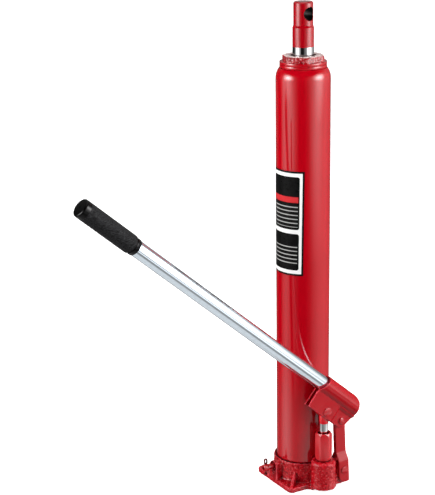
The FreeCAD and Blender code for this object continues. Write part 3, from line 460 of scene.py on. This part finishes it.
def labelTurn(height):
    # The decal is pasted a little aslant: its turn about the tube at a height, in radians
    share = (height - labelLook["low"]) / (labelLook["high"] - labelLook["low"])
    return math.radians(labelLook["lowTurn"] + share * (labelLook["topTurn"] - labelLook["lowTurn"]))


def panelDistance(tree, across, up, halfWidth, low, high, corner):
    # Signed distance to a rounded panel, negative inside it
    half = (high - low) / 2
    outX = calc(tree, "SUBTRACT", calc(tree, "ABSOLUTE", across), halfWidth - corner)
    offset = calc(tree, "SUBTRACT", up, (low + high) / 2)
    outY = calc(tree, "SUBTRACT", calc(tree, "ABSOLUTE", offset), half - corner)
    farX = calc(tree, "MAXIMUM", outX, 0.0)
    farY = calc(tree, "MAXIMUM", outY, 0.0)
    far = calc(tree, "SQRT", calc(tree, "ADD", calc(tree, "MULTIPLY", farX, farX),
                                  calc(tree, "MULTIPLY", farY, farY)))
    near = calc(tree, "MINIMUM", calc(tree, "MAXIMUM", outX, outY), 0.0)
    return calc(tree, "SUBTRACT", calc(tree, "ADD", far, near), corner)


def insideOf(tree, distance):
    return spread(tree, distance, 1.0, 0.0, -labelLook["feather"], labelLook["feather"])


def makeLabelPrint(radius):
    look = labelLook
    material, tree, shader = startMaterial("labelPrint")
    axes = addNode(tree, "ShaderNodeSeparateXYZ", {"Vector": objectPlace(tree)})
    turned = calc(tree, "ARCTAN2", axes.outputs["Y"], calc(tree, "MULTIPLY", axes.outputs["X"], -1.0))
    up = axes.outputs["Z"]
    slant = (labelTurn(look["high"]) - labelTurn(look["low"])) / (look["high"] - look["low"])
    lean = calc(tree, "MULTIPLY_ADD", up, slant, labelTurn(0.0))
    across = calc(tree, "MULTIPLY", calc(tree, "ADD", turned, lean), radius)
    halfWidth = math.radians(look["halfTurn"]) * radius - look["outline"]
    panelHalf = halfWidth - look["sideBorder"]

    def panelAway(half, low, high, corner):
        return panelDistance(tree, across, up, half, low, high, corner)

    inset = look["outline"] + look["border"]
    bandLow = look["bandMiddle"] - look["bandWidth"] / 2
    bandHigh = look["bandMiddle"] + look["bandWidth"] / 2
    panels = [(look["low"] + inset, bandLow), (bandHigh, look["high"] - inset)]
    away = [panelAway(panelHalf, low, high, look["corner"]) for low, high in panels]
    panel = insideOf(tree, calc(tree, "MINIMUM", *away))
    edge = panelAway(halfWidth, look["low"] + look["outline"], look["high"] - look["outline"],
                     look["edgeCorner"])
    outline = spread(tree, edge, 0.0, 1.0, -look["feather"], look["feather"])
    black = calc(tree, "MAXIMUM", panel, outline)
    stripe = insideOf(tree, panelAway(panelHalf - look["stripeInset"], look["stripeLow"], look["stripeHigh"],
                                      look["stripeCorner"]))
    fold = calc(tree, "PINGPONG", calc(tree, "SUBTRACT", up, look["ruleBands"][0][0]), look["rulePitch"] / 2)
    ruleHalf = look["ruleWidth"] / 2
    rules = spread(tree, fold, 1.0, 0.0, ruleHalf - look["ruleFeather"], ruleHalf + look["ruleFeather"])
    bands = [panelAway(panelHalf - look["ruleInset"], low, high, look["ruleCorner"])
             for low, high in look["ruleBands"]]
    rules = calc(tree, "MULTIPLY", rules, insideOf(tree, calc(tree, "MINIMUM", *bands)))
    speckle = noiseAt(tree, objectPlace(tree), look["speckle"], 4.0)
    ink = blendColours(tree, spread(tree, speckle, 0.0, 1.0), look["ink"], look["paleInk"])
    colour = blendColours(tree, black, look["paper"], ink)
    colour = blendColours(tree, stripe, colour, look["stripe"])
    colour = blendColours(tree, rules, colour, look["rule"])
    tree.links.new(colour, shader.inputs["Base Color"])
    tree.links.new(spread(tree, speckle, *look["rough"]), shader.inputs["Roughness"])
    shader.inputs["Specular IOR Level"].default_value = look["shine"]
    return material


def makeLabel():
    look = labelLook
    low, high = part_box("reservoir_tube")
    radius = (high.x - low.x) / 2
    deselectAll()
    bpy.ops.mesh.primitive_cylinder_add(vertices=look["sides"], radius=radius + look["lift"],
                                        end_fill_type="NOTHING", depth=look["high"] - look["low"],
                                        location=(0, 0, (look["high"] + look["low"]) / 2))
    label = bpy.context.object
    label.name = "tubeLabel"
    settle(label)
    startEdit(label)
    bpy.ops.mesh.select_all(action="DESELECT")
    endEdit()
    halfTurn = math.radians(look["halfTurn"] + look["cutSlack"])
    for vertex in label.data.vertices:
        vertex.select = abs(math.atan2(vertex.co.y, -vertex.co.x)) > halfTurn
    bpy.ops.object.mode_set(mode="EDIT")
    bpy.ops.mesh.delete(type="VERT")
    endEdit()
    for vertex in label.data.vertices:
        vertex.co = Matrix.Rotation(labelTurn(vertex.co.z), 3, "Z") @ vertex.co
    addModifier(label, "SOLIDIFY", thickness=look["film"], offset=1.0)
    shadeByAngle(label, look["smooth"])
    return finishPiece(label, makeLabelPrint(radius), "paint_red", body="frame")


makeTube()
makeLabel()
print("tube and label made")


# Base: sand-cast foot, cup, pump boss, lug and valve block in one skin

castLook = {"voxel": 0.66 * mm, "passes": 4, "ridgePasses": 40, "smooth": 60,
            "lumps": ((5.5 * mm, 1.1 * mm), (2.2 * mm, 0.45 * mm))}


def makeBase():
    casting = copyNode("base", "castBase")
    softSkin(casting, castLook["voxel"], castLook["passes"], castLook["lumps"])
    markRidges(casting, castLook["ridgePasses"])
    shadeByAngle(casting, castLook["smooth"])
    return finishPiece(casting, castPaint, "cast_red", "base")


makeBase()
print("base made")


# Ram: chromed rod, painted from just above the nut, with an unpainted cross hole made near-black as painted
# shade

ramLook = {"paintFrom": 575.0 * mm, "holeHeight": 615.4 * mm, "holeR": 8.3 * mm, "holeSlack": 0.1 * mm,
           "holeTurn": -76.0, "smooth": 20}


def paintAbove(piece, height, lower, upper):
    # One finish below a level, another above it
    startEdit(piece)
    bpy.ops.mesh.bisect(plane_co=(0, 0, height), plane_no=(0, 0, 1))
    endEdit()
    piece.data.materials.append(lower)
    piece.data.materials.append(upper)
    for face in piece.data.polygons:
        face.material_index = 1 if face.center.z > height else 0


def makeRam():
    rod = copyNode("ram", "ramRod")
    paintAbove(rod, ramLook["paintFrom"], hardChrome, rodPaint)
    # faces inside the cross hole get the near-black steel: painted shade
    rod.data.materials.append(darkSteel)
    turn = math.radians(ramLook["holeTurn"])
    holeR = ramLook["holeR"] + ramLook["holeSlack"]
    for face in rod.data.polygons:
        aside = face.center.y * math.cos(turn) - face.center.x * math.sin(turn)
        if math.hypot(aside, face.center.z - ramLook["holeHeight"]) < holeR:
            face.material_index = 2
    shadeByAngle(rod, ramLook["smooth"])
    return finishPiece(rod, hardChrome, "chrome_rod", "ram")


makeRam()


# Handle: plated tube with a slotted inner end, moulded grip over the outer one

handleLook = {"wall": 1.8 * mm, "sides": 96, "slotWidth": 5.0 * mm, "slotDepth": 9.0 * mm, "edge": 0.4 * mm,
              "edgeAngle": 50, "smooth": 30}
gripLook = {"length": 89.0 * mm, "endWall": 2.5 * mm, "fit": 0.05 * mm, "collar": 10.9 * mm,
            "collarLength": 6.5 * mm, "collarEdge": (0.4 * mm, 0.5 * mm), "groove": 0.9 * mm,
            "bodyEdge": 0.3 * mm, "bodyEdgeFrom": 0.2 * mm, "bodyEdgeTo": 0.8 * mm, "smoothEnd": 8.0 * mm,
            "endR": 2.2 * mm, "endSteps": 6, "ventR": 1.0 * mm, "sides": 128, "smooth": 40}


def axisSpan(node, radius):
    # Ends of a round node that lies along the handle
    low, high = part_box(node)
    middle = (low + high) / 2
    reach = ((high.x - low.x) / 2 - radius * handleWay.z) / abs(handleWay.x)
    return middle - handleWay * reach, middle + handleWay * reach


def makeHandle():
    low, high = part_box("handle_tube")
    radius = (high.y - low.y) / 2
    start, end = axisSpan("handle_tube", radius)
    length = (end - start).length
    bore = radius - handleLook["wall"]
    tube = turnPiece("handleTube", [(bore, 0), (radius, 0), (radius, length), (bore, length), (bore, 0)],
                     handleLook["sides"], hollow=True)
    deselectAll()
    bpy.ops.mesh.primitive_cube_add(size=1)
    cutter = bpy.context.object
    cutter.scale = (handleLook["slotWidth"], 4 * radius, 2 * handleLook["slotDepth"])      # right across
    settle(cutter)
    addModifier(tube, "BOOLEAN", operation="DIFFERENCE", object=cutter, solver="EXACT")
    bpy.data.objects.remove(cutter)
    roundEdges(tube, handleLook["edge"], handleLook["edgeAngle"])
    layAlong(tube, start, handleWay)
    shadeByAngle(tube, handleLook["smooth"])
    return finishPiece(tube, plated, "plated_tube", "handle_tube")


def makeGrip():
    look = gripLook
    low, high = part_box("handle_grip")
    radius = (high.y - low.y) / 2
    tubeLow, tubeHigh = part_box("handle_tube")
    tubeRadius = (tubeHigh.y - tubeLow.y) / 2
    tubeEnd = axisSpan("handle_tube", tubeRadius)[1]
    bore = tubeRadius + look["fit"]
    length = look["length"]
    floor = length - look["endWall"]
    collar = look["collar"]
    collarEnd = look["collarLength"]
    groove = look["groove"]
    bodyLow = collarEnd + groove
    bodyHigh = length - look["smoothEnd"]
    edgeIn, edgeUp = look["collarEdge"]
    endR = look["endR"]
    turns = [math.pi / 2 * step / look["endSteps"] for step in range(look["endSteps"] + 1)]
    dome = [(radius - endR * (1 - math.cos(t)), length - endR * (1 - math.sin(t))) for t in turns]
    steps = [(bore, 0), (collar - edgeIn, 0), (collar, edgeUp), (collar, collarEnd - groove),
             (collar - groove, collarEnd - groove / 2), (collar - groove, bodyLow),
             (radius - look["bodyEdge"], bodyLow + look["bodyEdgeFrom"]),
             (radius, bodyLow + look["bodyEdgeTo"]), (radius, bodyHigh)]
    steps += dome + [(look["ventR"], length), (look["ventR"], floor), (bore, floor), (bore, 0)]
    grip = turnPiece("handleGrip", steps, look["sides"], hollow=True)
    grip.data.materials.append(gripRubber)
    grip.data.materials.append(capRubber)
    for face in grip.data.polygons:
        face.material_index = 0 if bodyLow < face.center.z < bodyHigh else 1
    layAlong(grip, tubeEnd + handleWay * (look["endWall"] - length), handleWay)
    shadeByAngle(grip, look["smooth"])
    return finishPiece(grip, gripRubber, "grip_black", "handle_grip")


makeHandle()
makeGrip()
print("ram, handle and grip made")


# Socket and links: pressed plate, soft at the edges

pressedLook = {"voxel": 0.55 * mm, "passes": 4, "ridgePasses": 25, "smooth": 60}


def makePressed(node, name, finish):
    plate = copyNode(node, name)
    softSkin(plate, pressedLook["voxel"], pressedLook["passes"])
    markRidges(plate, pressedLook["ridgePasses"])
    shadeByAngle(plate, pressedLook["smooth"])
    return finishPiece(plate, finish, "paint_red", node)


makePressed("handle_socket", "handleSocket", socketPaint)
makePressed("link_front", "linkFront", linkPaint)
makePressed("link_back", "linkBack", linkPaint)
print("socket and links made")


# Turned and hexagon pieces that keep their CAD shape, with softened edges

machinedLook = {"flat": 0.5, "edgeAngle": 30, "smooth": 30}      # degrees
pumpLook = {"rodPaintFrom": 93.0 * mm, "smooth": 30}
nutLook = {"hexHeight": 7.5 * mm, "edge": 0.5 * mm, "levelSlack": 0.1 * mm}
rivetLook = {"headHeight": 2.4 * mm, "shankR": 3.5 * mm, "domeSteps": 7, "sides": 64, "smooth": 40}
splitLook = {"thicken": 0.2 * mm}
machined = [
    # node, name, finish, record slot, edge width
    ("top_washer", "topWasher", flangePaint, "paint_red", 1.0 * mm),
    ("pump_cylinder", "pumpBarrel", barrelPaint, "paint_red", 0.4 * mm),
    # the pump washer's very dark red is painted shade at the barrel's foot
    ("pump_washer", "pumpWasher", washerPaint, "paint_red", 0.3 * mm),
    ("plunger_pin", "plungerPin", pinPaint, "paint_red", 0.2 * mm),
    ("lower_link_pin", "lugPin", pinPaint, "paint_red", 0.2 * mm),
    ("release_spindle", "releaseSpindle", castPaint, "paint_red", 0.0),
    ("release_pin", "splitPin", washerPaint, "steel", 0.0),
    ("plunger_pin_clip", "plungerPinClip", blackSteel, "steel", 0.0),
    ("lower_pin_clip", "lugPinClip", blackSteel, "steel", 0.0),
    ("filler_plug", "fillerPlug", blackRubber, "black_rubber", 0.0),
    ("tube_seal", "tubeSeal", sprayedPaint, "black_rubber", 0.0),
]


def makeMachined(node, name, finish, slot, edge):
    piece = copyNode(node, name)
    startEdit(piece)
    bpy.ops.mesh.dissolve_limited(angle_limit=math.radians(machinedLook["flat"]))
    endEdit()
    if edge:
        roundEdges(piece, edge, machinedLook["edgeAngle"])
    shadeByAngle(piece, machinedLook["smooth"])
    return finishPiece(piece, finish, slot, node)


def makeNut():
    nut = makeMachined("gland_nut", "glandNut", nutPaint, "cast_red", nutLook["edge"])
    nut.data.materials.append(flangePaint)
    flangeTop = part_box("gland_nut")[1].z - nutLook["hexHeight"] + nutLook["levelSlack"]
    for face in nut.data.polygons:
        face.material_index = 1 if face.center.z < flangeTop else 0
    return nut


def makeRivet():
    low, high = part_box("upper_link_pin")
    middle = (low + high) / 2
    headR = (high.x - low.x) / 2
    length = high.y - low.y
    rise = rivetLook["headHeight"]
    count = rivetLook["domeSteps"]
    turns = [math.pi / 2 * step / count for step in range(count)]
    dome = [(headR * math.cos(t), rise * (1 - math.sin(t))) for t in reversed(turns)]
    shank = [(rivetLook["shankR"], rise), (rivetLook["shankR"], length - rise)]
    farDome = [(radius, length - up) for radius, up in reversed(dome)]
    rivet = turnPiece("linkRivet", dome + shank + farDome, rivetLook["sides"])
    layAlong(rivet, (middle.x, low.y, middle.z), (0, 1, 0))
    shadeByAngle(rivet, rivetLook["smooth"])
    return finishPiece(rivet, pinPaint, "paint_red", "upper_link_pin")


def makePlunger():
    rod = copyNode("plunger", "pumpPlunger")
    paintAbove(rod, pumpLook["rodPaintFrom"], chrome, plungerPaint)
    shadeByAngle(rod, pumpLook["smooth"])
    return finishPiece(rod, chrome, "chrome_rod", "plunger")


for row in machined:
    makeMachined(*row)
makeNut()
makeRivet()
makePlunger()
addModifier(bpy.data.objects["splitPin"], "DISPLACE", strength=splitLook["thicken"], mid_level=0.0)
print("machined pieces made")


# Inner pieces stay as the CAD nodes, in steel where their slot names nothing else

innerFinish = {"bronze": bronze, "black_rubber": blackRubber, "white_plastic": whitePlastic}


def dressInner():
    for node in nodes.values():
        if node.hide_render:
            continue
        worn = [slot.material.name if slot.material else "" for slot in node.material_slots]
        finish = next((innerFinish[key] for key in innerFinish if worn and key in worn[0]), bareSteel)
        for slot in node.material_slots:
            slot.material = finish


dressInner()
print("inner pieces dressed")


# Camera at the photograph's place

cameraLook = {"place": (-0.965727, -1.485249, 0.841000), "yaw": 29.497, "pitch": 16.448, "roll": -0.913,
              "lens": 104.82, "sensor": 36.0}
cameraBearing = math.atan2(cameraLook["place"][1], cameraLook["place"][0])


def makeCamera():
    yaw, pitch, roll = (math.radians(cameraLook[key]) for key in ("yaw", "pitch", "roll"))
    right = Vector((math.cos(yaw), -math.sin(yaw), 0))
    ahead = Vector((math.sin(yaw) * math.cos(pitch), math.cos(yaw) * math.cos(pitch), -math.sin(pitch)))
    up = right.cross(ahead)
    rolledRight = right * math.cos(roll) + up * math.sin(roll)
    rolledUp = up * math.cos(roll) - right * math.sin(roll)
    facing = Matrix((rolledRight, rolledUp, -ahead)).transposed()
    deselectAll()
    bpy.ops.object.camera_add(location=cameraLook["place"], rotation=facing.to_euler())
    camera = bpy.context.object
    camera.data.lens = cameraLook["lens"]
    camera.data.sensor_width = cameraLook["sensor"]
    bpy.context.scene.camera = camera


# Studio: pale floor, soft light from both sides and above, dark behind the camera

studioLook = {
    "floorSize": 80.0, "floorDrop": 0.3 * mm, "floorColour": (0.90, 0.90, 0.90, 1), "floorGlow": 0.75,
    "strength": 3.5, "backdrop": (0.3, 0.3, 0.3, 1),
    # light by bearing from the camera in degrees, from the sky down to the table
    "sky": ((-180, 0.30), (-140, 0.12), (-110, 0.0), (60, 0.0), (100, 0.06), (140, 0.14), (180, 0.30)),
    "upper": ((-180, 0.10), (-164, 0.04), (-120, 0.0), (-100, 0.08), (-84, 0.85), (-60, 0.80), (-38, 0.24),
              (-22, 0.02), (0, 0.0), (16, 0.06), (28, 0.20), (44, 0.52), (60, 1.10), (80, 1.10), (98, 0.48),
              (116, 0.28), (140, 0.07), (180, 0.10)),
    "top": ((-180, 0.35), (180, 0.35)),
    "boxes": ((-180, 0.08), (-140, 0.05), (-120, 0.0), (-104, 0.0), (-95, 0.26), (-80, 0.56), (-64, 0.63),
              (-51, 0.66), (-40, 0.38), (-30, 0.14), (-17, 0.0), (8, 0.0), (24, 0.06), (36, 0.30), (50, 0.62),
              (64, 0.75), (74, 0.64), (90, 0.37), (115, 0.22), (136, 0.06), (180, 0.08)),
    "edge": ((-180, 0.08), (-124, 0.0), (-108, 0.0), (-94, 0.15), (-76, 0.31), (-65, 0.23), (-52, 0.18),
             (-40, 0.13), (-30, 0.05), (-15, 0.0), (11, 0.0), (29, 0.04), (47, 0.17), (67, 0.27), (80, 0.28),
             (102, 0.23), (117, 0.15), (136, 0.06), (180, 0.08)),
    "table": ((-180, 0.10), (-145, 0.07), (-125, 0.04), (-109, 0.11), (-96, 0.33), (-78, 0.57), (-61, 0.46),
              (-51, 0.29), (-41, 0.17), (-25, 0.15), (0, 0.27), (23, 0.37), (40, 0.44), (66, 0.50), (100, 0.45),
              (180, 0.23)),
    "under": ((-180, 0.20), (-120, 0.24), (60, 0.24), (180, 0.20)),
    "tilt": 0.012,       # the table's edge lies lower on the right
    # shares between those bands, by height in degrees
    "skyShare": ((12, 0), (30, 1)), "topShare": ((58, 0), (70, 1)), "upperShare": ((-10.0, 0), (-8.6, 1)),
    "boxShare": ((-16.8, 0), (-11.0, 1)), "edgeShare": ((-24.2, 0), (-21.2, 1)),
    "underShare": ((-45, 1), (-33, 0)), "gap": ((-56, 1), (-46, 0.35), (-34, 0.28), (-26.5, 1)),
    # a thin dark post that leans across the left softbox: half widths of core and fringe in degrees, darkness
    "post": (4.0, 8.5, 0.04), "postShare": ((-23, 0), (-21, 1), (-9.8, 1), (-8.8, 0)),
    "postTurn": ((-23, -40), (-18, -52), (-15.5, -58), (-12.8, -65), (-11.0, -74), (-9.6, -77)),
    # on matt faces only: by bearing, and floor light in the object's own shade by height
    "behind": ((-180, 3.2), (-155, 1.2), (-130, 0.18), (-98, 0.5), (-75, 1.5), (-35, 1.5), (-10, 1), (100, 1),
               (130, 0.25), (155, 1.2), (180, 3.2)),
    "fill": ((-60, 0.30), (-12, 0.30), (0, 1)),
    # two softboxes aimed at the tube's shoulder: bearing from the camera, height, width, rise, level
    "lamps": ((-64.5, 9.3, 11.0, 7.8, 20.5), (70.5, 10.5, 13.5, 9.2, 16.0)),
    "lampAim": 0.54, "lampDistance": 1.3, "lampReach": 2.6,
}


def makeFloor():
    deselectAll()
    bpy.ops.mesh.primitive_plane_add(size=studioLook["floorSize"], location=(0, 0, -studioLook["floorDrop"]))
    floor = bpy.context.object
    floor.name = "studioFloor"
    material, tree, shader = startMaterial("floorPaper")
    shader.inputs["Base Color"].default_value = studioLook["floorColour"]
    shader.inputs["Roughness"].default_value = 1.0
    shader.inputs["Specular IOR Level"].default_value = 0.0
    shader.inputs["Emission Color"].default_value = (1, 1, 1, 1)
    shader.inputs["Emission Strength"].default_value = studioLook["floorGlow"]
    floor.data.materials.append(material)
    floor.visible_glossy = False
    floor.visible_diffuse = False


def makeCloth(name, reach, level):
    # Glow that fades from the middle of a softbox to nothing at its rim, and lets all other light through
    material, tree, shader = startMaterial(name)
    inputs = {0: objectPlace(tree), "Scale": reach}
    place = addNode(tree, "ShaderNodeVectorMath", inputs, operation="SCALE").outputs[0]
    inputs = {0: place, 1: place}
    away = addNode(tree, "ShaderNodeVectorMath", inputs, operation="DOT_PRODUCT").outputs["Value"]
    bell = calc(tree, "EXPONENT", calc(tree, "MULTIPLY", away, -0.5))
    tree.nodes.remove(shader)
    cloth = addNode(tree, "ShaderNodeEmission", {"Strength": calc(tree, "MULTIPLY", bell, level)}).outputs[0]
    clear = addNode(tree, "ShaderNodeBsdfTransparent").outputs[0]
    both = addNode(tree, "ShaderNodeAddShader", {0: cloth, 1: clear}).outputs[0]
    tree.links.new(both, tree.nodes["Material Output"].inputs["Surface"])
    return material


def makeLamps():
    look = studioLook
    reach = look["lampReach"]
    distance = look["lampDistance"]
    for number, (turn, up, width, rise, level) in enumerate(look["lamps"]):
        way = Vector((math.cos(math.radians(up)), 0, math.sin(math.radians(up))))
        way.rotate(Matrix.Rotation(cameraBearing + math.radians(turn), 3, "Z"))
        deselectAll()
        bpy.ops.mesh.primitive_plane_add(size=2, location=Vector((0, 0, look["lampAim"])) + way * distance)
        lamp = bpy.context.object
        lamp.name = f"softbox{number}"
        lamp.rotation_mode = "QUATERNION"
        lamp.rotation_quaternion = (-way).to_track_quat("Z", "Y")
        lamp.scale = [distance * math.tan(math.radians(half)) * reach for half in (width, rise)] + [1]
        lamp.data.materials.append(makeCloth(f"softboxCloth{number}", reach, level))
        lamp.visible_camera = False


def rampOf(tree, value, stops):
    ramp = addNode(tree, "ShaderNodeValToRGB", {"Fac": value})
    points = ramp.color_ramp.elements
    while len(points) < len(stops):
        points.new(0.5)
    for point, (position, level) in zip(points, stops):
        point.position = position
        point.color = (level, level, level, 1)
    return ramp.outputs["Color"]


def turnPart(turn):
    return (turn + 180) / 360


def heightPart(up):
    return (up + 90) / 180


def makeWorld():
    look = studioLook
    world = bpy.context.scene.world or bpy.data.worlds.new("studio")
    bpy.context.scene.world = world
    world.use_nodes = True
    tree = world.node_tree
    background = tree.nodes["Background"]
    way = addNode(tree, "ShaderNodeTexCoord").outputs["Generated"]
    axes = addNode(tree, "ShaderNodeSeparateXYZ", {"Vector": way})
    around = calc(tree, "ARCTAN2", axes.outputs["Y"], axes.outputs["X"])
    around = calc(tree, "WRAP", calc(tree, "SUBTRACT", around, cameraBearing), math.pi, -math.pi)
    height = calc(tree, "ARCSINE", axes.outputs["Z"])
    level = calc(tree, "MULTIPLY_ADD", around, look["tilt"], height)
    turnShare = spread(tree, around, 0.0, 1.0, -math.pi, math.pi)
    heightShare = spread(tree, height, 0.0, 1.0, -math.pi / 2, math.pi / 2)
    levelShare = spread(tree, level, 0.0, 1.0, -math.pi / 2, math.pi / 2)

    def byTurn(key):
        return rampOf(tree, turnShare, [(turnPart(turn), value) for turn, value in look[key]])

    def byHeight(key, share):
        return rampOf(tree, share, [(heightPart(up), value) for up, value in look[key]])

    light = blendColours(tree, byHeight("edgeShare", levelShare), byTurn("table"), byTurn("edge"))
    light = blendColours(tree, byHeight("boxShare", heightShare), light, byTurn("boxes"))
    for key in ("upper", "sky", "top", "under"):
        light = blendColours(tree, byHeight(key + "Share", heightShare), light, byTurn(key))
    light = tinted(tree, light, byHeight("gap", levelShare))
    matt = addNode(tree, "ShaderNodeLightPath").outputs["Is Diffuse Ray"]
    dimmed = tinted(tree, tinted(tree, light, byHeight("fill", heightShare)), byTurn("behind"))
    light = blendColours(tree, matt, light, dimmed)
    core, fringe, dark = look["post"]
    lean = rampOf(tree, heightShare, [(heightPart(up), turnPart(turn)) for up, turn in look["postTurn"]])
    aside = calc(tree, "ABSOLUTE", calc(tree, "SUBTRACT", turnShare, lean))
    post = spread(tree, aside, dark, 1.0, core / 360, fringe / 360)
    light = blendColours(tree, byHeight("postShare", heightShare), light, tinted(tree, light, post))
    seen = addNode(tree, "ShaderNodeLightPath").outputs["Is Camera Ray"]
    tree.links.new(blendColours(tree, seen, light, look["backdrop"]), background.inputs["Color"])
    background.inputs["Strength"].default_value = look["strength"]


makeCamera()
makeFloor()
makeLamps()
makeWorld()
bpy.context.scene.view_settings.view_transform = "Standard"
print("studio made")
